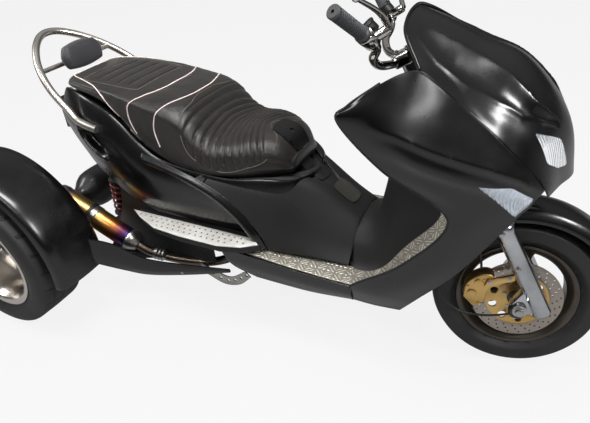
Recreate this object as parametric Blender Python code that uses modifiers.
"""Motorized trike: a maxi-scooter with one steered front wheel and a two-wheel rear axle.

Frame of the tables: metres, x forward from the front axle, y to the vehicle's left, z up from the ground.
The empty "vehicle" then carries everything forward, so that the origin is the middle of its footprint.
"""
import math

import bmesh
import bpy
from mathutils import Matrix, Vector

# Driving sizes of the whole vehicle
WHEELBASE = 1.658
FRONT_OVERHANG = 0.277
GAP = 0.0005
PANEL = 0.004

# Steering geometry
RAKE = math.radians(27.0)
AXIS_BEHIND_AXLE = 0.021
STEER_AT_REST = math.radians(15.0)

# Radial clearance of a turning fit, and facets of one turn of a wheel
RUNNING = 0.0004
WHEEL_STEPS = 32

# Front wheel
FRONT_RADIUS = 0.238
FRONT_TYRE_WIDTH = 0.122
FRONT_BEAD_RADIUS = 0.1565
FRONT_FLANGE_RADIUS = 0.1665
FRONT_RIM_HALF = 0.048
TYRE_WALL = 0.011
DISC_RADIUS = 0.1225
DISC_INNER = 0.086
DISC_THICKNESS = 0.004
DISC_Y = 0.064
AXLE_RADIUS = 0.009

# Rear wheels
REAR_RADIUS = 0.276
REAR_TYRE_WIDTH = 0.186
REAR_WHEEL_Y = 0.482
REAR_BEAD_RADIUS = 0.176
REAR_FLANGE_RADIUS = 0.195
REAR_RIM_HALF = 0.083
SPINDLE_RADIUS = 0.015
AXLE_TUBE_RADIUS = 0.034
AXLE_CASING_RADIUS = 0.080

# Room between a tyre and the crest of its fender
FENDER_ROOM = 0.067
FRONT_FENDER_ROOM = 0.053

# Fork, head and handlebar, measured from the steering axis or along it
LEG_FORWARD = 0.069
LEG_SPREAD = 0.100
SLIDER_RADIUS = 0.026
STANCHION_RADIUS = 0.017
STEM_RADIUS = 0.0125
BRIDGE_FOOT = 0.330
BRIDGE_TOP = 0.360
HEAD_LOW = 0.395
HEAD_HIGH = 0.560
HEAD_BORE = 0.019
HEAD_RADIUS = 0.030
CLAMP_FOOT = 0.728
CLAMP_TOP = 0.762
BAR_RADIUS = 0.011
GRIP_RADIUS = 0.0165
GRIP_LENGTH = 0.124

# Frame, swing arm and power unit; x is forward from the rear axle
TUBE_RADIUS = 0.016
TUBE_Y = 0.100
TUBE_Z = 0.245
RAIL_TUBE = 0.013
RAIL_Y = 0.148
RAIL_Z = 0.4975
ARM_Y = 0.152
PIVOT_X = 0.638
PIVOT_Z = 0.215
PIVOT_RADIUS = 0.022
SHOCK_TOP = (0.283, 0.462)
SHOCK_FOOT = (0.258, 0.2625)
ENGINE_REAR, ENGINE_FRONT = 0.318, 0.598
ENGINE_LOW, ENGINE_TOP = 0.245, 0.415
ENGINE_HALF = 0.118
ENGINE_MOUNTS = (0.368, 0.558)

# Floor: its front and rear edges from the front and the rear axle, and its half width
FLOOR_FRONT = -0.430
FLOOR_REAR = 0.758 - WHEELBASE
FLOOR_HALF = 0.2465
FLOOR_MOUNTS = (0.19, 0.79)

# Seat, its hinge and the box under it; x is forward from the rear axle
SEAT_HINGE = (1.003, 0.0, 0.525)
HINGE_EAR = 0.030
PIN_RADIUS = 0.004
BIN_REAR, BIN_FRONT = 0.358, 0.983
BIN_HALF = 0.115
BIN_FLOOR = 0.425

# Grab rail loop: the slope of its plane, its foot from the rear axle and its bar
RAIL_SLOPE = math.radians(37.0)
RAIL_FOOT = (0.258, 0.680)
RAIL_RADIUS = 0.0125
BRACE_ALONG = 0.225
BRACE_HALF = 0.163

AXLE_Z = FRONT_RADIUS
REAR_AXLE = (-WHEELBASE, 0.0, REAR_RADIUS)
AXIS_FOOT = Vector((-AXIS_BEHIND_AXLE, 0.0, AXLE_Z))
AXIS_UP = Vector((-math.sin(RAKE), 0.0, math.cos(RAKE)))
AXIS_FORWARD = Vector((math.cos(RAKE), 0.0, math.sin(RAKE)))

for old in list(bpy.data.objects):
    bpy.data.objects.remove(old, do_unlink=True)

# Shells as they were lofted, before any cut; a neighbour is cut back from these
LOFTED = {}

TRIKE = bpy.data.collections.new("motorized_trike")
CUTTERS = bpy.data.collections.new("cutters")
bpy.context.scene.collection.children.link(TRIKE)
bpy.context.scene.collection.children.link(CUTTERS)


def finish(name, colour, roughness, metallic=0.0):
    """Return a Principled material with a base colour, a roughness and a metallic value."""
    material = bpy.data.materials.new(name)
    material.use_nodes = True
    shader = material.node_tree.nodes["Principled BSDF"]
    shader.inputs["Base Color"].default_value = (*colour, 1.0)
    shader.inputs["Roughness"].default_value = roughness
    shader.inputs["Metallic"].default_value = metallic
    return material


BLACK_PAINT = finish("gloss_black_paint", (0.012, 0.012, 0.013), 0.18)
BLACK_PLASTIC = finish("matte_black_plastic", (0.02, 0.02, 0.021), 0.6)
CHASSIS_BLACK = finish("chassis_black", (0.016, 0.016, 0.016), 0.5, 0.3)
ALUMINIUM = finish("aluminium_plate", (0.62, 0.62, 0.6), 0.35, 1.0)
CHROME = finish("chrome_plate", (0.75, 0.75, 0.76), 0.08, 1.0)
LEATHER = finish("black_leather", (0.03, 0.029, 0.028), 0.5)
RUBBER = finish("tyre_rubber", (0.02, 0.02, 0.02), 0.8)
RIM_PAINT = finish("rim_grey_brown", (0.09, 0.08, 0.07), 0.4, 0.6)
RIM_SILVER = finish("rim_silver", (0.6, 0.6, 0.6), 0.3, 0.9)
TITANIUM = finish("burnt_titanium", (0.4, 0.3, 0.18), 0.25, 1.0)
STEEL = finish("steel", (0.4, 0.4, 0.4), 0.35, 1.0)
GOLD = finish("gold_anodised", (0.6, 0.42, 0.14), 0.3, 1.0)
RED_SPRING = finish("red_spring_paint", (0.35, 0.02, 0.02), 0.35)
CLEAR = finish("clear_lens", (0.8, 0.82, 0.85), 0.1)
RED_LENS = finish("red_lens", (0.4, 0.01, 0.01), 0.15)


def place(obj, material, collection=TRIKE):
    """Link an object to the model and give it its material."""
    collection.objects.link(obj)
    if material is not None:
        obj.data.materials.clear()
        obj.data.materials.append(material)
    return obj


def new_mesh(name, material, verts, faces, collection=TRIKE):
    """Make a mesh object with outward faces from points and faces."""
    mesh = bpy.data.meshes.new(name)
    mesh.from_pydata([tuple(v) for v in verts], [], faces)
    work = bmesh.new()
    work.from_mesh(mesh)
    bmesh.ops.remove_doubles(work, verts=work.verts, dist=1e-6)
    bmesh.ops.recalc_face_normals(work, faces=work.faces)
    work.to_mesh(mesh)
    work.free()
    return place(bpy.data.objects.new(name, mesh), material, collection)


def baked(obj):
    """Turn an object into a plain mesh at the origin, with its modifiers applied and its caps welded."""
    bpy.context.view_layer.update()
    seen = obj.evaluated_get(bpy.context.evaluated_depsgraph_get())
    mesh = bpy.data.meshes.new_from_object(seen)
    mesh.transform(obj.matrix_world)
    work = bmesh.new()
    work.from_mesh(mesh)
    bmesh.ops.remove_doubles(work, verts=work.verts, dist=1e-5)
    bmesh.ops.triangulate(work, faces=[f for f in work.faces if len(f.verts) > 4])
    bmesh.ops.recalc_face_normals(work, faces=work.faces)
    work.to_mesh(mesh)
    work.free()
    name = obj.name
    material = obj.data.materials[0] if obj.data.materials else None
    bpy.data.objects.remove(obj, do_unlink=True)
    new = bpy.data.objects.new(name, mesh)
    return place(new, material)


def smooth_path(points, count):
    """Points at equal steps of a Catmull-Rom curve through the given points."""
    given = [Vector(p) for p in points]
    if len(given) == 2:
        return [given[0].lerp(given[1], i / (count - 1)) for i in range(count)]
    ends = [given[0] * 2 - given[1]] + given + [given[-1] * 2 - given[-2]]
    fine = []
    for a, b, c, d in zip(ends, ends[1:], ends[2:], ends[3:]):
        for step in range(12):
            t = step / 12
            fine.append(0.5 * (2 * b + (c - a) * t + (2 * a - 5 * b + 4 * c - d) * t * t
                               + (3 * b - a - 3 * c + d) * t ** 3))
    fine.append(given[-1])
    lengths = [0.0]
    for a, b in zip(fine, fine[1:]):
        lengths.append(lengths[-1] + (b - a).length)
    out = []
    spot = 0
    for i in range(count):
        want = lengths[-1] * i / (count - 1)
        while spot < len(fine) - 2 and lengths[spot + 1] < want:
            spot += 1
        span = lengths[spot + 1] - lengths[spot] or 1.0
        out.append(fine[spot].lerp(fine[spot + 1], (want - lengths[spot]) / span))
    return out


def skin(name, material, curves, along, across, thickness=PANEL, both_sides=False, offset=-1.0):
    """A shell lofted through curves, given from the outside edge inwards, with a real wall.

    A curve is a list of (x, y, z). With both_sides the curves cover one half up to y = 0,
    and the other half is their mirror image.
    """
    if both_sides:
        curves = curves + [[(x, -y, z) for x, y, z in c] for c in reversed(curves[:-1])]
    rows = [smooth_path(c, along) for c in curves]
    columns = [smooth_path([row[i] for row in rows], across) for i in range(along)]
    verts = [v for column in columns for v in column]
    faces = [(i * across + j, i * across + j + 1, (i + 1) * across + j + 1, (i + 1) * across + j)
             for i in range(along - 1) for j in range(across - 1)]
    mesh = bpy.data.meshes.new(name)
    mesh.from_pydata([tuple(v) for v in verts], [], faces)
    obj = place(bpy.data.objects.new(name, mesh), material)
    wall = obj.modifiers.new("wall", "SOLIDIFY")
    wall.thickness = thickness
    wall.offset = offset
    wall.use_even_offset = True
    shell = baked(obj)
    LOFTED[name] = shell.data.copy()
    return shell


def ring_loft(name, material, rings):
    """A closed solid through rings of equally many points, capped at both ends."""
    count = len(rings[0])
    verts = [v for ring in rings for v in ring]
    faces = []
    for i in range(len(rings) - 1):
        for j in range(count):
            k = (j + 1) % count
            faces.append((i * count + j, i * count + k, (i + 1) * count + k, (i + 1) * count + j))
    faces.append(tuple(range(count)))
    last = (len(rings) - 1) * count
    faces.append(tuple(range(last, last + count)))
    return new_mesh(name, material, verts, faces)


def tube(name, material, points, radius, count=24, sides=3, closed=False, smooth=True):
    """A round bar or pipe: a bevelled curve with filled caps along a smooth path."""
    path = smooth_path(points, count) if smooth else [Vector(p) for p in points]
    curve = bpy.data.curves.new(name, "CURVE")
    curve.dimensions = "3D"
    curve.bevel_depth = radius
    curve.bevel_resolution = sides
    curve.use_fill_caps = not closed
    spline = curve.splines.new("POLY")
    spline.points.add(len(path) - 1)
    for point, spot in zip(spline.points, path):
        point.co = (*spot, 1.0)
    spline.use_cyclic_u = closed
    return baked(place(bpy.data.objects.new(name, curve), material))


def turned(name, material, profile, centre=(0, 0, 0), steps=48, closed=False):
    """A turned piece about an axis along y. The profile is (y, radius), from one side to the other."""
    points = [(0.0, y, r) for y, r in profile]
    edges = [(i, i + 1) for i in range(len(points) - 1)]
    if closed:
        edges.append((len(points) - 1, 0))
    mesh = bpy.data.meshes.new(name)
    mesh.from_pydata(points, edges, [])
    obj = place(bpy.data.objects.new(name, mesh), material)
    spin = obj.modifiers.new("turn", "SCREW")
    spin.axis = "Y"
    spin.steps = spin.render_steps = steps
    spin.use_merge_vertices = True
    spin.merge_threshold = 0.00001
    obj.location = centre
    return baked(obj)


def box(name, material, low, high, collection=TRIKE):
    """A plain block between two corners."""
    bpy.ops.mesh.primitive_cube_add(size=1.0)
    obj = bpy.context.active_object
    obj.name = name
    for holder in list(obj.users_collection):
        holder.objects.unlink(obj)
    low, high = Vector(low), Vector(high)
    obj.data.transform(Matrix.Translation((low + high) / 2) @ Matrix.Diagonal((*(high - low), 1.0)))
    return place(obj, material, collection)


def rod(name, material, start, end, radius, sides=16, end_radius=None):
    """A round bar or taper between two points."""
    start, end = Vector(start), Vector(end)
    mesh = bpy.data.meshes.new(name)
    work = bmesh.new()
    bmesh.ops.create_cone(work, cap_ends=True, segments=sides, radius1=radius,
                          radius2=radius if end_radius is None else end_radius, depth=(end - start).length)
    turn = (end - start).to_track_quat("Z", "Y").to_matrix().to_4x4()
    bmesh.ops.transform(work, matrix=Matrix.Translation((start + end) / 2) @ turn, verts=work.verts)
    work.to_mesh(mesh)
    work.free()
    return place(bpy.data.objects.new(name, mesh), material)


def slab(name, material, outline, low, high, along="y"):
    """A flat plate: an outline extruded along one axis, its points in the order of the other two axes."""
    count = len(outline)
    turns = {"x": lambda a, b, c: (c, a, b), "y": lambda a, b, c: (a, c, b), "z": lambda a, b, c: (a, b, c)}
    verts = [turns[along](a, b, level) for level in (low, high) for a, b in outline]
    faces = [tuple(range(count)), tuple(range(count, 2 * count))]
    faces += [(i, (i + 1) % count, count + (i + 1) % count, count + i) for i in range(count)]
    return new_mesh(name, material, verts, faces)


def combine(target, others, operation="UNION"):
    """Join other solids to a target, or cut them from it, and use them up."""
    for other in others:
        step = target.modifiers.new("join", "BOOLEAN")
        step.operation = operation
        step.solver = "EXACT"
        step.object = other
        bpy.context.view_layer.update()
        seen = target.evaluated_get(bpy.context.evaluated_depsgraph_get())
        mesh = bpy.data.meshes.new_from_object(seen)
        target.modifiers.clear()
        old = target.data
        target.data = mesh
        bpy.data.meshes.remove(old)
        bpy.data.objects.remove(other, do_unlink=True)
    return target


def fat_copy(obj, clearance):
    """A copy of a solid, as it was lofted, that is larger by a clearance all round, as a cutter."""
    mesh = LOFTED.get(obj.name, obj.data).copy()
    work = bmesh.new()
    work.from_mesh(mesh)
    bmesh.ops.remove_doubles(work, verts=work.verts, dist=1e-5)
    work.normal_update()
    shifts = [(v, v.normal * clearance * min(v.calc_shell_factor(), 2.0)) for v in work.verts]
    for vert, shift in shifts:
        vert.co += shift
    work.to_mesh(mesh)
    work.free()
    return place(bpy.data.objects.new(obj.name + "_clearance", mesh), None, CUTTERS)


def largest_body(obj):
    """Keep only the largest loose piece of a mesh, by the reach of its box."""
    work = bmesh.new()
    work.from_mesh(obj.data)
    left = set(work.verts)
    groups = []
    while left:
        todo = [left.pop()]
        group = set(todo)
        while todo:
            for edge in todo.pop().link_edges:
                for vert in edge.verts:
                    if vert in left:
                        left.remove(vert)
                        group.add(vert)
                        todo.append(vert)
        groups.append(group)
    keep = max(groups, key=lambda g: sum(max(v.co[k] for v in g) - min(v.co[k] for v in g) for k in range(3)))
    bmesh.ops.delete(work, geom=[v for g in groups if g is not keep for v in g], context="VERTS")
    work.to_mesh(obj.data)
    work.free()
    return obj


def trim(target, *neighbours, clearance=GAP):
    """Cut a piece back from its neighbours by a clearance, and keep its main body."""
    combine(target, [fat_copy(n, clearance) for n in neighbours], "DIFFERENCE")
    return largest_body(target)


def aft(x, y=0.0, z=0.0):
    """A point whose x is measured forward from the rear axle."""
    return (x - WHEELBASE, y, z)


def floor_x(share):
    """The x of a place on the floor, as a share of the way from its front edge to its rear edge."""
    return FLOOR_FRONT + share * (FLOOR_REAR - FLOOR_FRONT)


def over(obj, x, y):
    """The height of the first face of a piece straight above a point of the ground."""
    bpy.context.view_layer.update()
    return obj.ray_cast(Vector((x, y, 0.0)), Vector((0.0, 0.0, 1.0)))[1].z


def spread(table, place):
    """The rows of a table with their first column, a share or a distance, turned to an x."""
    return [(place(row[0]), *row[1:]) for row in table]


def sided(table, side):
    """Give the points of a right-hand table, whose y is a half width, to one side."""
    return [(x, side * y, z) for x, y, z in table]


# Body tables. Every curve runs from the rear to the front; columns x, half width, z
HOOD_CREST = [(-0.335, 0, 1.030), (-0.25, 0, 1.000), (-0.16, 0, 0.958), (-0.08, 0, 0.930),
              (-0.02, 0, 0.882), (0.035, 0, 0.812), (0.068, 0, 0.745), (0.086, 0, 0.645)]
HOOD_MID = [(-0.325, 0.11, 1.004), (-0.209, 0.15, 0.939), (-0.132, 0.17, 0.898), (-0.088, 0.17, 0.876),
            (-0.047, 0.155, 0.852), (0.0, 0.14, 0.810), (0.036, 0.12, 0.75), (0.062, 0.10, 0.655)]
PARTING = [(-0.262, 0.200, 0.942), (-0.185, 0.220, 0.900), (-0.093, 0.225, 0.832),
           (-0.045, 0.216, 0.785), (-0.003, 0.200, 0.738), (0.035, 0.183, 0.686), (0.045, 0.178, 0.665)]
COWL_TOP = [(-0.405, 0.270, 0.868), (-0.332, 0.255, 0.923)] + PARTING[:-1]
COWL_CURVES = [
    COWL_TOP,
    [(-0.425, 0.285, 0.832), (-0.36, 0.290, 0.835), (-0.282, 0.287, 0.823), (-0.203, 0.283, 0.794),
     (-0.140, 0.272, 0.772), (-0.079, 0.255, 0.752), (-0.018, 0.222, 0.719), (0.030, 0.190, 0.676)],
    [(-0.318, 0.280, 0.721), (-0.200, 0.278, 0.705), (-0.100, 0.255, 0.690), (0.012, 0.198, 0.650)],
    [(-0.160, 0.256, 0.600), (-0.100, 0.245, 0.600), (-0.018, 0.208, 0.600)],
    [(-0.270, 0.253, 0.430), (-0.190, 0.245, 0.430), (-0.125, 0.225, 0.430)],
    [(-0.420, 0.252, 0.308), (-0.320, 0.245, 0.300), (-0.232, 0.222, 0.296)],
    [(-0.430, 0.215, 0.225), (-0.360, 0.212, 0.222), (-0.285, 0.203, 0.221)],
]
# Lower skirt: share of the floor's length, half width, z
SKIRT_CURVES = [
    [(0.957, 0.252, 0.330), (0.702, 0.252, 0.320), (0.319, 0.252, 0.310), (-0.013, 0.252, 0.307)],
    [(0.872, 0.246, 0.262), (0.574, 0.246, 0.258), (0.277, 0.246, 0.256), (-0.004, 0.244, 0.262)],
    [(0.723, 0.215, 0.205), (0.489, 0.215, 0.205), (0.277, 0.215, 0.208), (0.009, 0.215, 0.224)],
]
# Footboard: share of the floor's length, floor z, tunnel top z, tunnel half width
FLOOR_STATIONS = [(1.0, 0.332, 0.415, 0.10), (0.702, 0.320, 0.415, 0.10), (0.404, 0.309, 0.410, 0.095),
                  (0.191, 0.305, 0.392, 0.09), (0.0, 0.303, 0.39, 0.09)]
# Chequered plate along the floor: share of the floor's length, half width, z
PLATE_CURVES = [[(0.945, 0.244, 0.3305), (0.702, 0.244, 0.3205), (0.404, 0.244, 0.3095), (0.191, 0.244, 0.3055),
                 (0.002, 0.243, 0.3040)],
                [(0.919, 0.236, 0.3297), (0.702, 0.180, 0.3205), (0.404, 0.168, 0.3095), (0.191, 0.167, 0.3055),
                 (0.002, 0.166, 0.3040)]]
# Inner leg shield, from the toes up; columns x, half width, z, from the outer edge to the middle
SHIELD_LEVELS = [
    [(-0.425, 0.240, 0.312), (-0.425, 0.165, 0.312), (-0.425, 0.110, 0.345), (-0.425, 0.07, 0.392), (-0.425, 0, 0.40)],
    [(-0.335, 0.240, 0.350), (-0.340, 0.170, 0.350), (-0.385, 0.115, 0.375), (-0.405, 0.07, 0.425), (-0.410, 0, 0.435)],
    [(-0.272, 0.240, 0.432), (-0.290, 0.175, 0.440), (-0.350, 0.120, 0.470), (-0.385, 0.07, 0.500), (-0.395, 0, 0.51)],
    [(-0.172, 0.243, 0.590), (-0.220, 0.190, 0.590), (-0.310, 0.125, 0.600), (-0.365, 0.07, 0.610), (-0.375, 0, 0.61)],
    [(-0.245, 0.261, 0.672), (-0.270, 0.200, 0.680), (-0.330, 0.130, 0.690), (-0.375, 0.07, 0.690), (-0.385, 0, 0.69)],
    [(-0.375, 0.274, 0.775), (-0.370, 0.210, 0.775), (-0.370, 0.135, 0.765), (-0.395, 0.07, 0.760), (-0.400, 0, 0.76)],
    [(-0.410, 0.269, 0.840), (-0.400, 0.215, 0.835), (-0.385, 0.140, 0.825), (-0.390, 0.07, 0.815), (-0.392, 0, 0.812)],
]
# Rear body: x forward from the rear axle, then (half width, z) of the seat line, the waist and the hem
REAR_BODY = [
    (0.058, (0.060, 0.720), (0.100, 0.645), (0.060, 0.560)),
    (0.118, (0.115, 0.745), (0.155, 0.655), (0.115, 0.530)),
    (0.238, (0.165, 0.752), (0.205, 0.640), (0.175, 0.490)),
    (0.388, (0.190, 0.700), (0.225, 0.575), (0.205, 0.420)),
    (0.501, (0.195, 0.595), (0.225, 0.510), (0.205, 0.390)),
    (0.588, (0.195, 0.535), (0.218, 0.470), (0.200, 0.375)),
    (0.788, (0.190, 0.517), (0.200, 0.440), (0.182, 0.342)),
    (0.918, (0.165, 0.520), (0.178, 0.440), (0.165, 0.326)),
    (0.998, (0.115, 0.525), (0.130, 0.440), (0.125, 0.330)),
    (1.033, (0.040, 0.520), (0.060, 0.450), (0.070, 0.350)),
]
# Seat: x forward from the rear axle, half width, bottom z, edge z, crown z
SEAT_STATIONS = [
    (0.138, 0.100, 0.765, 0.778, 0.786),
    (0.188, 0.140, 0.764, 0.784, 0.796),
    (0.358, 0.165, 0.728, 0.768, 0.790),
    (0.498, 0.182, 0.612, 0.740, 0.776),
    (0.638, 0.188, 0.552, 0.690, 0.752),
    (0.698, 0.188, 0.548, 0.630, 0.692),
    (0.758, 0.188, 0.548, 0.600, 0.660),
    (0.858, 0.165, 0.553, 0.600, 0.668),
    (0.943, 0.120, 0.558, 0.595, 0.650),
    (0.986, 0.085, 0.560, 0.570, 0.600),
]
# Pillion step: x forward from the rear axle and half width, round its outline
STEP_OUTLINE = [(0.441, 0.232), (0.503, 0.268), (0.653, 0.288), (0.803, 0.288), (0.880, 0.268), (0.915, 0.248), (0.900, 0.232)]
STEP_Z = 0.360
# Fender stations across the wheel; columns half width, drop below the fender's crest
FENDER_STATIONS = [(0.542, 0.031), (0.528, 0.007), (0.470, 0.0), (0.400, 0.0),
                   (0.352, 0.007), (0.338, 0.028), (0.337, 0.113)]
FENDER_CREST = REAR_RADIUS + FENDER_ROOM
FENDER_FRONT = math.radians(-10.0)
FENDER_REAR = math.radians(192.0)
# Valance in front of a rear fender: x forward from the rear axle, half width, z
VALANCE_CURVES = [
    [(0.328, 0.400, 0.345), (0.398, 0.345, 0.290), (0.484, 0.300, 0.205), (0.618, 0.245, 0.185), (0.758, 0.212, 0.200)],
    [(0.333, 0.405, 0.240), (0.408, 0.345, 0.200), (0.484, 0.303, 0.170), (0.618, 0.246, 0.168), (0.758, 0.214, 0.185)],
    [(0.328, 0.400, 0.160), (0.408, 0.338, 0.147), (0.484, 0.298, 0.146), (0.618, 0.240, 0.152), (0.758, 0.210, 0.172)],
]
# Front fender across the tyre: half width, drop below its crest
FRONT_FENDER_STATIONS = [(0.0705, 0.043), (0.0690, 0.029), (0.0560, 0.011), (0.030, 0.002), (0.0, 0.0)]
FRONT_FENDER_REAR = math.radians(150.0)
# Lamps, cut from the panel they sit in: right-hand outlines of half width and z, and of x and z
HEADLIGHT_OUTLINE = [(0.150, 0.804), (0.080, 0.766), (0.058, 0.690), (0.105, 0.702), (0.152, 0.733)]
FLASHER_OUTLINE = [(-0.100, 0.712), (-0.030, 0.702), (0.018, 0.664), (-0.016, 0.612)]
# Handlebar and rail: points of one half in their own planes
BAR_CURVE = [(-0.012, 0.0, 0.745), (-0.022, 0.05, 0.748), (-0.044, 0.10, 0.766), (-0.043, 0.145, 0.793),
             (-0.016, 0.195, 0.8275), (-0.038, 0.330, 0.931)]
RAIL_POINTS = [(-0.050, 0.176), (0.0, 0.184), (0.06, 0.195), (0.11, 0.200), (0.15, 0.192), (0.20, 0.175), (0.25, 0.150),
               (0.29, 0.122), (0.33, 0.085), (0.36, 0.042), (0.370, 0.0)]


def axis_frame(turn=0.0):
    """The steering frame: z along the axis, x forward, turned left about the axis."""
    side = Vector((0, 1, 0))
    basis = Matrix((AXIS_FORWARD, side, AXIS_UP)).transposed().to_4x4()
    return Matrix.Translation(AXIS_FOOT) @ basis @ Matrix.Rotation(turn, 4, "Z")


def arc(centre, radius, start, end, count, y):
    """Points (x, y, z) of an arc about a centre (x, z)."""
    return [(centre[0] + radius * math.cos(start + (end - start) * i / (count - 1)), y,
             centre[1] + radius * math.sin(start + (end - start) * i / (count - 1))) for i in range(count)]


def build_front_wheel():
    """Rim with hub and spokes, brake disc on its carrier, and tyre, about the straight-ahead axle."""
    centre = (0, 0, AXLE_Z)
    flange, half, bead = FRONT_FLANGE_RADIUS, FRONT_RIM_HALF, FRONT_BEAD_RADIUS
    rim = turned("front_rim", RIM_PAINT, [
        (-half, flange), (-half + 0.003, flange), (-half + 0.004, bead), (-0.030, bead - 0.001),
        (-0.024, 0.142), (0.024, 0.142), (0.030, bead - 0.001), (half - 0.004, bead), (half - 0.003, flange),
        (half, flange), (half, 0.152), (0.028, 0.136), (-0.028, 0.136), (-half, 0.152)],
        centre, WHEEL_STEPS, closed=True)
    hub = turned("hub", RIM_PAINT, [(-0.052, 0.012), (-0.052, 0.034), (-0.030, 0.036), (0.030, 0.036),
                                    (0.052, 0.030), (0.052, 0.012)], centre, 16, closed=True)
    spokes = []
    for i in range(3):
        bar = slab("spoke", RIM_PAINT, [(0.025, -0.026), (0.139, -0.021), (0.139, 0.021), (0.025, 0.026)],
                   -0.018, 0.018)
        bar.data.transform(Matrix.Translation(centre) @ Matrix.Rotation(math.radians(120 * i + 35), 4, "Y"))
        spokes.append(bar)
    combine(rim, [hub] + spokes)
    bore = rod("bore", None, (0, -0.06, AXLE_Z), (0, 0.06, AXLE_Z), AXLE_RADIUS + RUNNING, 16)
    combine(rim, [bore], "DIFFERENCE")
    edge = DISC_Y + DISC_THICKNESS / 2
    disc = turned("front_disc", STEEL, [
        (-0.0525, 0.026), (-0.0525, 0.046), (-edge + DISC_THICKNESS, DISC_INNER),
        (-edge + DISC_THICKNESS, DISC_RADIUS), (-edge, DISC_RADIUS), (-edge, DISC_INNER),
        (-0.0565, 0.044), (-0.0565, 0.026)], centre, WHEEL_STEPS, closed=True)
    wide, crown = FRONT_TYRE_WIDTH / 2, FRONT_RADIUS
    inside = crown - TYRE_WALL
    outer, inner = half - 0.0045, half - 0.0165
    tyre = turned("front_tyre", RUBBER, [
        (-outer, bead + GAP), (-outer, flange + 0.002), (-wide, crown - 0.044), (-wide * 0.93, crown - 0.022),
        (-wide * 0.5, crown - 0.004), (0.0, crown), (wide * 0.5, crown - 0.004), (wide * 0.93, crown - 0.022),
        (wide, crown - 0.044), (outer, flange + 0.002), (outer, bead + GAP), (inner, bead + GAP),
        (inner, flange + 0.005), (wide - TYRE_WALL, crown - 0.042), (wide * 0.5, inside - 0.006),
        (-wide * 0.5, inside - 0.006), (-wide + TYRE_WALL, crown - 0.042), (-inner, flange + 0.005),
        (-inner, bead + GAP)], centre, WHEEL_STEPS, closed=True)
    return [rim, disc, tyre]


def build_rear_wheel(side):
    """Deep dish rim and wide tyre of one side, about its spindle."""
    name = "left" if side > 0 else "right"
    centre = (-WHEELBASE, side * REAR_WHEEL_Y, REAR_RADIUS)
    half, flange, bead = REAR_RIM_HALF, REAR_FLANGE_RADIUS, REAR_BEAD_RADIUS
    bore = SPINDLE_RADIUS + RUNNING
    profile = [(-half, flange), (-half + 0.003, flange), (-half + 0.004, bead), (-0.060, bead - 0.001),
               (-0.045, 0.163), (0.030, 0.163), (0.060, bead - 0.001), (half - 0.004, bead),
               (half - 0.003, flange), (half, flange), (half, 0.172), (0.032, 0.157),
               (-0.018, 0.157), (-0.010, 0.075), (-0.004, 0.040), (-0.004, bore),
               (-0.040, bore), (-0.040, 0.060), (-0.034, 0.150), (-half, 0.172)]
    rim = turned("rear_rim_" + name, RIM_SILVER, [(side * y, r) for y, r in profile], centre, WHEEL_STEPS, closed=True)
    wide, crown = REAR_TYRE_WIDTH / 2, REAR_RADIUS
    inside = crown - TYRE_WALL
    outer, inner = half - 0.0045, half - 0.017
    tyre = turned("rear_tyre_" + name, RUBBER, [
        (-outer, bead + GAP), (-outer, flange + 0.002), (-wide, crown - 0.048), (-wide * 0.95, crown - 0.018),
        (-wide * 0.8, crown - 0.001), (wide * 0.8, crown - 0.001), (wide * 0.95, crown - 0.018),
        (wide, crown - 0.048), (outer, flange + 0.002), (outer, bead + GAP), (inner, bead + GAP),
        (inner, flange + 0.006), (wide - TYRE_WALL, crown - 0.046), (wide * 0.8, inside),
        (-wide * 0.8, inside), (-wide + TYRE_WALL, crown - 0.046), (-inner, flange + 0.006),
        (-inner, bead + GAP)], centre, WHEEL_STEPS, closed=True)
    return [rim, tyre]


def build_fork():
    """Fork with bridge, stem, trailing axle lugs and axle, made in the steering frame."""
    frame = axis_frame()
    axle = frame.inverted() @ Vector((0, 0, AXLE_Z))
    fork = rod("fork", ALUMINIUM, (0, 0, BRIDGE_FOOT + 0.002), (0, 0, CLAMP_FOOT - GAP), STEM_RADIUS, 16)
    pieces = []
    for side in (-1, 1):
        y = side * LEG_SPREAD
        pieces.append(rod("slider", ALUMINIUM, (LEG_FORWARD, y, -0.055), (LEG_FORWARD, y, 0.270), SLIDER_RADIUS, 16))
        pieces.append(rod("stanchion", ALUMINIUM, (LEG_FORWARD, y, 0.265), (LEG_FORWARD, y, BRIDGE_TOP + 0.025),
                          STANCHION_RADIUS, 12))
        pieces.append(slab("lug", ALUMINIUM, [(axle.x - 0.020, axle.z - 0.018), (LEG_FORWARD, -0.045),
                                              (LEG_FORWARD, 0.055), (axle.x - 0.020, axle.z + 0.020)],
                           y - 0.016, y + 0.016))
        inner, outer = side * (LEG_SPREAD - 0.025), side * (LEG_SPREAD + 0.026)
        pieces.append(rod("boss", ALUMINIUM, (axle.x, inner, axle.z), (axle.x, outer, axle.z), 0.021, 16))
    edge = LEG_SPREAD + SLIDER_RADIUS + 0.002
    pieces.append(box("bridge", ALUMINIUM, (-0.030, -edge, BRIDGE_FOOT), (LEG_FORWARD + SLIDER_RADIUS, edge, BRIDGE_TOP)))
    for low in (HEAD_LOW + 0.005, HEAD_HIGH - 0.030):
        pieces.append(rod("bearing", ALUMINIUM, (0, 0, low), (0, 0, low + 0.025), HEAD_BORE - RUNNING, 20))
    reach = LEG_SPREAD + 0.032
    pieces.append(rod("axle", ALUMINIUM, (axle.x, -reach, axle.z), (axle.x, reach, axle.z), AXLE_RADIUS, 16))
    combine(fork, pieces)
    fork.data.transform(frame)
    return fork


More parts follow.
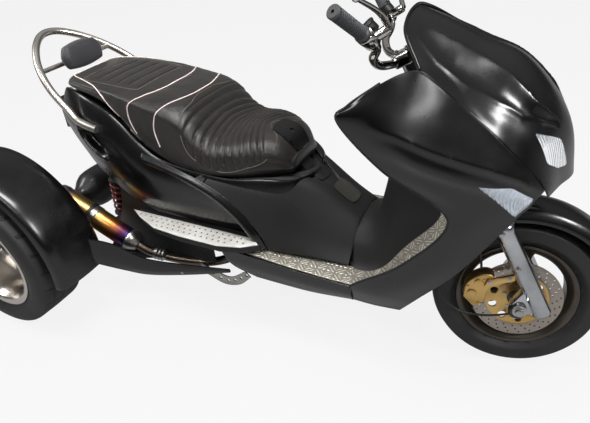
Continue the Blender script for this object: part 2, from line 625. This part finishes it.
def build_handlebar():
    """High chrome bar with its clamp, switches and levers, and two grips, made in the steering frame."""
    frame = axis_frame()
    path = [(x, -y, z) for x, y, z in reversed(BAR_CURVE[1:])] + BAR_CURVE
    bar = tube("handlebar", CHROME, path, BAR_RADIUS, 19, 2)
    grips = []
    pieces = [box("clamp", CHROME, (-0.024, -0.040, CLAMP_FOOT), (0.024, 0.040, CLAMP_TOP))]
    start, end = Vector(BAR_CURVE[-2]), Vector(BAR_CURVE[-1])
    along = (end - start).normalized()
    tip, root = end + along * 0.006, end + along * (0.006 - GRIP_LENGTH)
    inner = root - along * 0.047
    pivot = inner + Vector((0.045, 0.0, 0.012))
    lever_tip = tip + Vector((0.050, -0.01, 0.0))
    for side in (-1, 1):
        turn = Vector((1, side, 1))
        grips.append(rod("grip_left" if side > 0 else "grip_right", RUBBER, root * turn, tip * turn, GRIP_RADIUS, 16))
        pieces.append(rod("switch", CHROME, inner * turn, (root - along * 0.002) * turn, 0.021, 12))
        pieces.append(rod("arm", CHROME, (inner + along * 0.012) * turn, pivot * turn, 0.012, 10))
        pieces.append(rod("lever", CHROME, pivot * turn, lever_tip * turn, 0.006, 8))
    combine(bar, pieces)
    bar.data.transform(frame)
    for grip in grips:
        grip.data.transform(frame)
        trim(grip, bar)
    return [bar] + grips


def build_front_fender():
    """Arched fender shell over the front tyre, with a boss to each fork leg."""
    crest = FRONT_RADIUS + FRONT_FENDER_ROOM
    front = math.acos(FRONT_OVERHANG / crest)
    curves = [arc((0, AXLE_Z), crest - drop, FRONT_FENDER_REAR, front, 9, y) for y, drop in FRONT_FENDER_STATIONS]
    fender = skin("front_fender", BLACK_PAINT, curves, 12, 9, 0.003, both_sides=True)
    spot = axis_frame() @ Vector((LEG_FORWARD, 0, 0.245))
    inner, outer = FRONT_FENDER_STATIONS[0][0] - 0.0035, LEG_SPREAD - SLIDER_RADIUS - GAP
    bosses = [rod("boss", BLACK_PAINT, (spot.x, side * inner, spot.z), (spot.x, side * outer, spot.z), 0.011, 12)
              for side in (-1, 1)]
    return combine(fender, bosses)


def build_caliper(fork):
    """Brake caliper that straddles the disc behind the right leg, on its bracket arm."""
    outline = [(-0.150, 0.010), (-0.142, 0.062), (-0.100, 0.092), (-0.070, 0.080), (-0.088, 0.030),
               (-0.092, 0.000), (-0.120, -0.020)]
    body = slab("brake_caliper", GOLD, [(x, AXLE_Z + z) for x, z in outline], -0.096, -0.0535)
    room, deep = DISC_THICKNESS / 2 + 0.004, DISC_RADIUS + 0.005
    slot = turned("slot", None, [(-DISC_Y - room, 0.0), (-DISC_Y - room, deep), (-DISC_Y + room, deep),
                                 (-DISC_Y + room, 0.0)], (0, 0, AXLE_Z), WHEEL_STEPS, closed=True)
    combine(body, [slot], "DIFFERENCE")
    outline = [(-0.098, 0.055), (-0.020, 0.085), (-0.020, 0.105), (-0.090, 0.080)]
    arm = slab("arm", GOLD, [(x, AXLE_Z + z) for x, z in outline], -0.106, -0.094)
    return trim(combine(body, [arm]), fork)


def build_lines(caliper, fork):
    """Brake hose up behind the right leg, and the speedometer cable from its drive, both to the bridge."""
    hose = [(-0.106, -0.074, 0.080), (-0.113, -0.086, 0.132), (-0.125, -0.092, 0.192), (-0.142, -0.088, 0.252),
            (-0.162, -0.078, 0.307)]
    cable = [(0.0, -0.118, -0.006), (-0.045, -0.118, -0.022), (-0.100, -0.119, -0.030), (-0.165, -0.122, -0.018),
             (-0.212, -0.122, 0.030), (-0.228, -0.112, 0.110), (-0.218, -0.095, 0.210), (-0.195, -0.078, 0.300)]
    lines = []
    for name, route, radius in (("brake_hose", hose, 0.0035), ("speedometer_cable", cable, 0.0032)):
        line = tube(name, BLACK_PLASTIC, [(x, y, AXLE_Z + z) for x, y, z in route], radius, 3 * len(route), 1)
        lines.append(trim(line, fork, *([caliper] if name == "brake_hose" else [])))
    return lines


def build_rear_axle(fenders):
    """Axle housing with its casing, flanges and spindles, and the plates that carry the fenders."""
    tip = REAR_WHEEL_Y + 0.006
    tube_r, casing = AXLE_TUBE_RADIUS, AXLE_CASING_RADIUS
    half = [(0.0, casing), (0.055, casing - 0.002), (0.085, casing * 0.75), (0.125, tube_r),
            (REAR_WHEEL_Y - 0.066, tube_r), (REAR_WHEEL_Y - 0.062, 0.056), (REAR_WHEEL_Y - 0.046, 0.056),
            (REAR_WHEEL_Y - 0.045, SPINDLE_RADIUS), (tip, SPINDLE_RADIUS), (tip, 0.0)]
    profile = [(-y, r) for y, r in reversed(half[1:])] + half
    axle = turned("rear_axle", CHASSIS_BLACK, profile, REAR_AXLE, 16)
    x, z = REAR_AXLE[0], REAR_AXLE[2]
    wall = FENDER_STATIONS[-1][0]
    outline = [(x - 0.045, z - 0.020), (x + 0.045, z - 0.020), (x + 0.050, z + 0.05), (x + 0.13, z + 0.235),
               (x - 0.13, z + 0.235), (x - 0.050, z + 0.05)]
    plates = [slab("plate", CHASSIS_BLACK, outline, side * (wall - 0.018), side * (wall + 0.003)) for side in (-1, 1)]
    return trim(combine(axle, plates), *fenders)


def build_swing_arm(axle):
    """Two trailing arms from the frame's pivot to saddles on the axle housing, with the shock mounts."""
    x = aft(PIVOT_X)[0]
    arm = rod("swing_arm", CHASSIS_BLACK, (x, -ARM_Y - 0.02, PIVOT_Z), (x, ARM_Y + 0.02, PIVOT_Z), PIVOT_RADIUS, 16)
    pieces = []
    back, low = -WHEELBASE, REAR_RADIUS - 0.055
    foot = aft(SHOCK_FOOT[0])[0]
    for side in (-1, 1):
        y = side * ARM_Y
        pieces.append(rod("tube", CHASSIS_BLACK, (x, y, PIVOT_Z), (back + 0.05, y, low), 0.019, 12))
        pieces.append(box("saddle", CHASSIS_BLACK, (back - 0.05, y - 0.022, low - 0.025), (back + 0.07, y + 0.022, low + 0.053)))
        pieces.append(box("lug", CHASSIS_BLACK, (foot - 0.025, y - 0.018, low - 0.022), (foot + 0.025, y + 0.018, SHOCK_FOOT[1] - GAP)))
    combine(arm, pieces)
    return trim(arm, axle)


def build_shock(side, arm, frame):
    """Shock absorber with its coil drawn as rings between two spring plates."""
    name = "shock_left" if side > 0 else "shock_right"
    foot = Vector(aft(SHOCK_FOOT[0], side * ARM_Y, SHOCK_FOOT[1]))
    top = Vector(aft(SHOCK_TOP[0], side * ARM_Y, SHOCK_TOP[1]))
    length = (top - foot).length
    profile = [(-0.003, 0.0), (-0.003, 0.014), (0.022, 0.014), (0.022, 0.027), (0.030, 0.027)]
    turns = 5
    pitch = (length - 0.064 - 0.005) / turns
    for i in range(turns):
        low = 0.034 + i * pitch
        profile += [(low, 0.019), (low + pitch * 0.25, 0.026), (low + pitch * 0.60, 0.026), (low + pitch * 0.85, 0.019)]
    profile += [(length - 0.034, 0.027), (length - 0.024, 0.027), (length - 0.024, 0.014),
                (length + 0.003, 0.014), (length + 0.003, 0.0)]
    shock = turned(name, RED_SPRING, profile, (0, 0, 0), 10)
    turn = (top - foot).to_track_quat("Y", "X").to_matrix().to_4x4()
    shock.data.transform(Matrix.Translation(foot) @ turn)
    return trim(shock, arm, frame)


def build_frame(footboard, cowls):
    """Tubular frame: head tube, down tubes under the floor, seat rails, shock towers and engine hangers."""
    axis = axis_frame()
    frame = rod("main_frame", CHASSIS_BLACK, axis @ Vector((0, 0, HEAD_LOW)), axis @ Vector((0, 0, HEAD_HIGH)), HEAD_RADIUS, 16)
    pieces = []
    knee = axis @ Vector((-0.02, 0, 0.47))
    for side in (-1, 1):
        y = side * TUBE_Y
        run = [(knee.x, side * 0.012, knee.z), (-0.345, side * 0.075, 0.50), (-0.37, y, 0.33), (-0.43, y, 0.262),
               (floor_x(0.404), y, TUBE_Z), (floor_x(0.957), y, TUBE_Z), aft(PIVOT_X + 0.04, y, PIVOT_Z)]
        pieces.append(tube("down_tube", CHASSIS_BLACK, run, TUBE_RADIUS, 14, 2))
        rail = [aft(0.733, y, 0.240), aft(0.728, side * 0.125, 0.36), aft(0.708, side * 0.143, 0.435),
                aft(0.578, side * RAIL_Y, RAIL_Z), aft(0.283, side * RAIL_Y, RAIL_Z), aft(0.238, side * 0.14, RAIL_Z + 0.01)]
        pieces.append(tube("seat_rail", CHASSIS_BLACK, rail, RAIL_TUBE, 12, 2))
        pieces.append(box("tower", CHASSIS_BLACK, aft(SHOCK_TOP[0] - 0.025, side * (RAIL_Y - 0.006), SHOCK_TOP[1] + GAP),
                          aft(SHOCK_TOP[0] + 0.025, side * (ARM_Y + 0.018), RAIL_Z)))
        pieces.append(box("pivot_plate", CHASSIS_BLACK, aft(PIVOT_X - 0.032, y - 0.006, PIVOT_Z - 0.037),
                          aft(PIVOT_X + 0.055, y + 0.006, PIVOT_Z + 0.037)))
        for share in FLOOR_MOUNTS:
            x = floor_x(share)
            top = min(over(footboard, x + dx, side * a) for dx in (-0.012, 0.012) for a in (0.130, 0.150)) - GAP
            outline = [(TUBE_Y, TUBE_Z - 0.007), (0.150, TUBE_Z - 0.007), (0.150, top), (0.130, top),
                       (0.130, TUBE_Z + 0.011), (TUBE_Y, TUBE_Z + 0.011)]
            pieces.append(slab("floor_mount", CHASSIS_BLACK, [(side * a, b) for a, b in outline], x - 0.012, x + 0.012, "x"))
        wall = ENGINE_HALF + GAP
        for x in ENGINE_MOUNTS:
            outline = [(wall, ENGINE_TOP - 0.045), (0.152, ENGINE_TOP - 0.045), (0.152, RAIL_Z), (0.138, RAIL_Z),
                       (0.138, ENGINE_TOP - 0.010), (wall, ENGINE_TOP - 0.010)]
            pieces.append(slab("hanger", CHASSIS_BLACK, [(side * a, b) for a, b in outline],
                               aft(x - 0.015)[0], aft(x + 0.015)[0], "x"))
    for share in FLOOR_MOUNTS:
        x = floor_x(share)
        pieces.append(rod("cross", CHASSIS_BLACK, (x, -TUBE_Y, TUBE_Z + 0.002), (x, TUBE_Y, TUBE_Z + 0.002), 0.012, 12))
    for x, z in ((SHOCK_TOP[0], RAIL_Z + 0.001), (0.722, 0.395)):
        cross = rod("cross", CHASSIS_BLACK, aft(x, -0.21, z), aft(x, 0.21, z), 0.0115, 12)
        pieces.append(trim(cross, *cowls))
    combine(frame, pieces)
    bores = [rod("bore", None, axis @ Vector((0, 0, HEAD_LOW - 0.02)), axis @ Vector((0, 0, HEAD_HIGH + 0.02)), HEAD_BORE, 20),
             rod("bore", None, aft(PIVOT_X, -0.2, PIVOT_Z), aft(PIVOT_X, 0.2, PIVOT_Z), PIVOT_RADIUS + RUNNING, 16)]
    return combine(frame, bores, "DIFFERENCE")


def build_rear_body():
    """Two side cowls, lofted from the seat line down to the hem, each with the ledge of its pillion step."""
    cowls = []
    seats, waists, hems = [[(row[0], *row[k]) for row in REAR_BODY] for k in (1, 2, 3)]
    upper = [(a[0], (a[1] + b[1]) / 2 + 0.008, (a[2] + b[2]) / 2) for a, b in zip(seats, waists)]
    lower = [(a[0], (a[1] + b[1]) / 2 + 0.006, (a[2] + b[2]) / 2) for a, b in zip(waists, hems)]
    for side in (-1, 1):
        name = "side_cowl_left" if side > 0 else "side_cowl_right"
        curves = [sided([aft(*p) for p in curve], side) for curve in (seats, upper, waists, lower, hems)]
        cowl = skin(name, BLACK_PAINT, curves, 17, 7, PANEL, offset=side)
        ledge = [(aft(x + (0.006 if y > 0.24 else 0.0))[0], side * (y - 0.004 if y > 0.24 else 0.186)) for x, y in STEP_OUTLINE]
        cowls.append(combine(cowl, [slab("ledge", BLACK_PAINT, ledge, STEP_Z - 0.024, STEP_Z - GAP, "z")]))
    return cowls


def build_steps():
    """Perforated plate of each pillion step, on its ledge."""
    steps = []
    for side in (-1, 1):
        name = "pillion_step_left" if side > 0 else "pillion_step_right"
        outline = [(aft(x)[0], side * y) for x, y in STEP_OUTLINE]
        steps.append(slab(name, ALUMINIUM, outline, STEP_Z, STEP_Z + PANEL, "z"))
    return steps


def build_tail(cowls):
    """Closing piece behind the seat, between the side cowls, and the lamp set on it."""
    back = 0.036
    tail = box("tail_cowl", BLACK_PAINT, aft(back, -0.097, 0.583), aft(back + 0.037, 0.097, 0.698))
    trim(tail, *cowls, clearance=2 * GAP)
    lamp = box("tail_lamp", RED_LENS, aft(back - 0.018, -0.045, 0.600), aft(back - GAP, 0.045, 0.665))
    return [tail, lamp]


def build_luggage_box():
    """Open bin under the seat, hung by its lips on the frame's rails, with the ears of the seat's hinge."""
    top = RAIL_Z + RAIL_TUBE + GAP + PANEL
    low, high = Vector(aft(BIN_REAR, -BIN_HALF, BIN_FLOOR)), Vector(aft(BIN_FRONT, BIN_HALF, top))
    bin_ = box("luggage_box", BLACK_PLASTIC, low, high)
    hinge = Vector(aft(*SEAT_HINGE))
    pieces = []
    for side in (-1, 1):
        pieces.append(box("lip", BLACK_PLASTIC, (low.x, side * (BIN_HALF - 0.003), top - PANEL),
                          aft(0.638, side * (RAIL_Y + 0.004), top)))
        pieces.append(box("ear", BLACK_PLASTIC, (high.x - 0.002, side * HINGE_EAR, hinge.z - 0.045),
                          (hinge.x + 0.012, side * (HINGE_EAR + 0.006), hinge.z + 0.010)))
    combine(bin_, pieces)
    wall = Vector((PANEL, PANEL, PANEL))
    inner = box("inner", None, low + wall, high - wall + Vector((0, 0, 0.02)))
    reach = HINGE_EAR + 0.02
    bore = rod("bore", None, hinge - Vector((0, reach, 0)), hinge + Vector((0, reach, 0)), PIN_RADIUS + RUNNING, 16)
    return combine(bin_, [inner, bore], "DIFFERENCE")


def seat_ring(row, count=14):
    """Closed ring of the cushion at one station: flat bottom, rounded edge, crowned top."""
    x, half, bottom, edge, crown = row
    ring = []
    for i in range(count):
        a = math.pi * i / (count - 1)
        ring.append(aft(x, half * math.cos(a), edge + (crown - edge) * max(0.0, math.sin(a)) ** 0.8))
    return ring + [aft(x, -half * 0.93, bottom), aft(x, half * 0.93, bottom)]


def build_seat():
    """The one cushion, and the pan under it with its hinge lug, pin and rests."""
    cushion = ring_loft("seat_cushion", LEATHER, [seat_ring(row) for row in SEAT_STATIONS])
    rings = []
    for x, half, bottom, edge, crown in SEAT_STATIONS:
        wide, top, low = half * 0.9, bottom - GAP, bottom - 0.012
        rings.append([aft(x, wide, top), aft(x, -wide, top), aft(x, -wide, low), aft(x, wide, low)])
    pan = ring_loft("seat_pan", BLACK_PLASTIC, rings)
    hinge, ear = Vector(aft(*SEAT_HINGE)), HINGE_EAR - GAP
    outline = [(-0.075, 0.022), (-0.010, -0.004), (0.004, -0.006), (0.007, 0.006), (-0.022, 0.032), (-0.075, 0.026)]
    lug = slab("lug", BLACK_PLASTIC, [(hinge.x + a, hinge.z + b) for a, b in outline], -ear, ear)
    reach = Vector((0, ear + 0.006, 0))
    pieces = [lug, rod("pin", BLACK_PLASTIC, hinge - reach, hinge + reach, PIN_RADIUS, 16)]
    seat_on = RAIL_Z + RAIL_TUBE + PANEL + 2 * GAP
    for side in (-1, 1):
        pieces.append(rod("rest", BLACK_PLASTIC, aft(0.618 + 0.030, side * 0.133, seat_on), aft(0.648, side * 0.133, 0.545), 0.007, 10))
    combine(pan, pieces)
    return [cushion, pan]


def rail_point(along, y):
    """A point of the grab rail's sloping plane."""
    return aft(RAIL_FOOT[0] - along * math.cos(RAIL_SLOPE), y, RAIL_FOOT[1] + along * math.sin(RAIL_SLOPE))


def build_grab_rail():
    """Polished loop behind the seat, with the backrest pad on its brace."""
    half = [rail_point(s, y) for s, y in RAIL_POINTS]
    path = [(x, -y, z) for x, y, z in half[:-1]] + [half[-1]] + list(reversed(half[:-1]))
    rail = tube("grab_rail", CHROME, path, RAIL_RADIUS, 27, 2)
    combine(rail, [rod("brace", CHROME, rail_point(BRACE_ALONG, -BRACE_HALF), rail_point(BRACE_ALONG, BRACE_HALF), 0.008, 12)])
    pad = box("backrest_pad", LEATHER, (-0.018, -0.095, -0.048), (0.038, 0.095, 0.048))
    lean = Matrix.Rotation(math.radians(-12.0), 4, "Y")
    spot = Vector(rail_point(BRACE_ALONG, 0)) + Vector((0.0215, 0, 0.016))
    pad.data.transform(Matrix.Translation(spot) @ lean)
    return [rail, trim(pad, rail)]


def build_footboard():
    """Footboard with its centre tunnel."""
    curves = []
    for share in (1.0, 0.84, 0.66, 0.52, 0.42, 0.0):
        curve = []
        for x, floor, top, tunnel in spread(FLOOR_STATIONS, floor_x):
            places = {0.52: (tunnel + 0.018, floor + 0.004), 0.42: (tunnel, top - 0.02), 0.0: (0.0, top)}
            y, z = places.get(share, (FLOOR_HALF * share, floor))
            curve.append((x, y, z))
        curves.append(curve)
    return skin("footboard", BLACK_PLASTIC, curves, 7, 15, PANEL, both_sides=True)


def build_checker_plates(footboard):
    """Chequered strip of each side, laid on the floor."""
    plates = []
    for side in (-1, 1):
        curves = [sided(spread(curve, floor_x), side) for curve in PLATE_CURVES]
        name = "checker_plate_left" if side > 0 else "checker_plate_right"
        plates.append(trim(skin(name, ALUMINIUM, curves, 9, 2, 0.006, offset=0.0), footboard))
    return plates


def build_leg_shield():
    """Inner leg shield with the dash on top."""
    curves = [[level[k] for level in SHIELD_LEVELS] for k in range(5)]
    return skin("leg_shield", BLACK_PLASTIC, curves, 12, 13, PANEL, both_sides=True)


def lens_from(panel, name, material, outline, low, high, along):
    """Cut an outline out of a panel, and make the piece that fills it a lens."""
    lens = place(bpy.data.objects.new(name, panel.data.copy()), material)
    middle = Vector((sum(a for a, b in outline), sum(b for a, b in outline))) / len(outline)
    inset = [tuple(Vector(p) + (middle - Vector(p)).normalized() * 2 * GAP) for p in outline]
    combine(lens, [slab("inside", None, inset, low, high, along)], "INTERSECT")
    combine(panel, [slab("hole", None, outline, low, high, along)], "DIFFERENCE")
    return largest_body(lens)


def build_front_body():
    """Hood with screen, the two side cowls trimmed to it, and the lamps set in them."""
    hood = skin("hood_and_screen", BLACK_PAINT, [PARTING, HOOD_MID, HOOD_CREST], 15, 13, PANEL, both_sides=True)
    cowls, lamps = [], []
    for side in (-1, 1):
        hand = "left" if side > 0 else "right"
        curves = [sided(c, side) for c in COWL_CURVES]
        cowl = trim(skin("front_cowl_" + hand, BLACK_PAINT, curves, 10, 13, PANEL, offset=side), hood, clearance=2 * GAP)
        lamps.append(lens_from(cowl, "flasher_" + hand, CLEAR, FLASHER_OUTLINE, side * 0.10, side * 0.35, "y"))
        cowls.append(cowl)
    for side in (-1, 1):
        hand = "left" if side > 0 else "right"
        outline = [(side * a, b) for a, b in HEADLIGHT_OUTLINE]
        lamps.append(lens_from(hood, "headlight_" + hand, CLEAR, outline, -0.12, 0.15, "x"))
    return hood, cowls, lamps


def build_skirts():
    """Lower skirt of each side under the floor."""
    skirts = []
    for side in (-1, 1):
        name = "lower_skirt_left" if side > 0 else "lower_skirt_right"
        curves = [sided(spread(c, floor_x), side) for c in SKIRT_CURVES]
        skirts.append(skin(name, BLACK_PAINT, curves, 8, 4, PANEL, offset=side))
    return skirts


def build_rear_fenders():
    """Wide fender of each side with its front valance."""
    fenders = []
    for side in (-1, 1):
        name = "rear_fender_left" if side > 0 else "rear_fender_right"
        curves = [arc((REAR_AXLE[0], REAR_RADIUS), FENDER_CREST - drop, FENDER_REAR, FENDER_FRONT, 12, side * y)
                  for y, drop in FENDER_STATIONS]
        fender = skin(name, BLACK_PAINT, curves, 17, 9, PANEL, offset=side)
        curves = [sided([aft(*p) for p in c], side) for c in VALANCE_CURVES]
        fenders.append(combine(fender, [skin("valance", BLACK_PAINT, curves, 8, 3, PANEL, offset=side)]))
    return fenders


def build_exhaust(engine):
    """Silencer with its caps, the pipe to the engine, and the drilled crescent beside the pipe."""
    back, front = Vector(aft(0.113, -0.285, 0.420)), Vector(aft(0.413, -0.250, 0.235))
    length = (front - back).length
    profile = [(0.0, 0.0), (0.0, 0.022), (0.006, 0.034), (0.030, 0.0375), (0.031, 0.039), (length - 0.03, 0.039),
               (length - 0.012, 0.036), (length, 0.024), (length + 0.018, 0.020), (length + 0.018, 0.0)]
    silencer = turned("silencer", TITANIUM, profile, (0, 0, 0), 16)
    turn = (front - back).to_track_quat("Y", "Z").to_matrix().to_4x4()
    silencer.data.transform(Matrix.Translation(back) @ turn)
    tip = back + (front - back).normalized() * (length + 0.0185)
    route = [tip, aft(0.458, -0.238, 0.207), aft(0.538, -0.205, 0.176), aft(0.638, -0.168, 0.162),
             aft(0.718, -0.135, 0.178), aft(0.758, -0.090, 0.200), aft(0.718, -0.055, 0.225),
             aft(ENGINE_FRONT + GAP, -0.045, 0.290)]
    pipe = trim(tube("exhaust_pipe", STEEL, route, 0.016, 22, 2), silencer, engine)
    outline = [(0.638, 0.142), (0.668, 0.130), (0.733, 0.108), (0.798, 0.125), (0.848, 0.175), (0.828, 0.195),
               (0.758, 0.150), (0.683, 0.165), (0.638, 0.178)]
    bracket = slab("under_bracket", ALUMINIUM, [(aft(x)[0], z) for x, z in outline], -0.1960, -0.1910)
    combine(bracket, [rod("boss", ALUMINIUM, aft(0.653, -0.192, 0.161), aft(0.653, -0.166, 0.161), 0.007, 12)])
    return [silencer, pipe, trim(bracket, pipe)]


def ride(objects, empty, frame):
    """Hang pieces on an empty that stands at a frame of the straight-ahead vehicle."""
    for obj in objects:
        obj.data.transform(frame.inverted())
        obj.parent = empty


def new_empty(name, parent, matrix):
    """An empty that carries pieces; its matrix is given under its parent."""
    empty = bpy.data.objects.new(name, None)
    TRIKE.objects.link(empty)
    empty.parent = parent
    empty.matrix_local = matrix
    return empty


def reach(obj, matrix, side):
    """The furthest x of a piece, forward or back, when it stands at a matrix."""
    return max(side * (matrix @ v.co).x for v in obj.data.vertices)


def main():
    """Build every piece and hang it on its carrier."""
    straight = axis_frame()
    steered_frame = axis_frame(STEER_AT_REST)
    wheel_frame = Matrix.Translation((0, 0, AXLE_Z))
    fork = build_fork()
    caliper = build_caliper(fork)
    front_fender = build_front_fender()
    steered = [fork, caliper, front_fender] + build_lines(caliper, fork) + build_handlebar()

    fenders = build_rear_fenders()
    axle = build_rear_axle(fenders)
    arm = build_swing_arm(axle)
    engine = box("engine_block", CHASSIS_BLACK, aft(ENGINE_REAR, -ENGINE_HALF, ENGINE_LOW), aft(ENGINE_FRONT, ENGINE_HALF, ENGINE_TOP))
    bin_ = build_luggage_box()
    hood, front_cowls, lamps = build_front_body()
    footboard = build_footboard()
    skirts = [trim(skirt, cowl) for skirt, cowl in zip(build_skirts(), front_cowls)]
    leg_shield = trim(build_leg_shield(), *front_cowls, footboard)
    trim(footboard, *skirts)
    rail, pad = build_grab_rail()
    cowls = [trim(cowl, footboard, rail, clearance=2 * GAP) for cowl in build_rear_body()]
    frame = trim(build_frame(footboard, cowls), bin_)
    fixed = [axle, arm, frame, engine, footboard, leg_shield, bin_, hood, rail, pad]
    fixed += [build_shock(side, arm, frame) for side in (-1, 1)]
    fixed += front_cowls + lamps + skirts + cowls + build_tail(cowls) + fenders + build_steps() + build_exhaust(engine)
    fixed += build_checker_plates(footboard)

    front_reach = reach(front_fender, steered_frame @ straight.inverted(), 1)
    rear_reach = reach(fenders[0], Matrix.Identity(4), -1)
    vehicle = new_empty("vehicle", None, Matrix.Translation(((rear_reach - front_reach) / 2, 0, 0)))
    steering = new_empty("steering_axis", vehicle, steered_frame)
    front_axle = new_empty("front_axle", steering, straight.inverted() @ wheel_frame)
    ride(build_front_wheel(), front_axle, wheel_frame)
    ride(steered, steering, straight)
    ride(fixed, vehicle, Matrix.Identity(4))
    for side in (-1, 1):
        centre = Matrix.Translation((-WHEELBASE, side * REAR_WHEEL_Y, REAR_RADIUS))
        hub = new_empty("rear_axle_" + ("left" if side > 0 else "right"), vehicle, centre)
        ride(build_rear_wheel(side), hub, centre)
    lid = Matrix.Translation(aft(*SEAT_HINGE))
    hinge = new_empty("seat_hinge", vehicle, lid)
    ride(build_seat(), hinge, lid)


main()
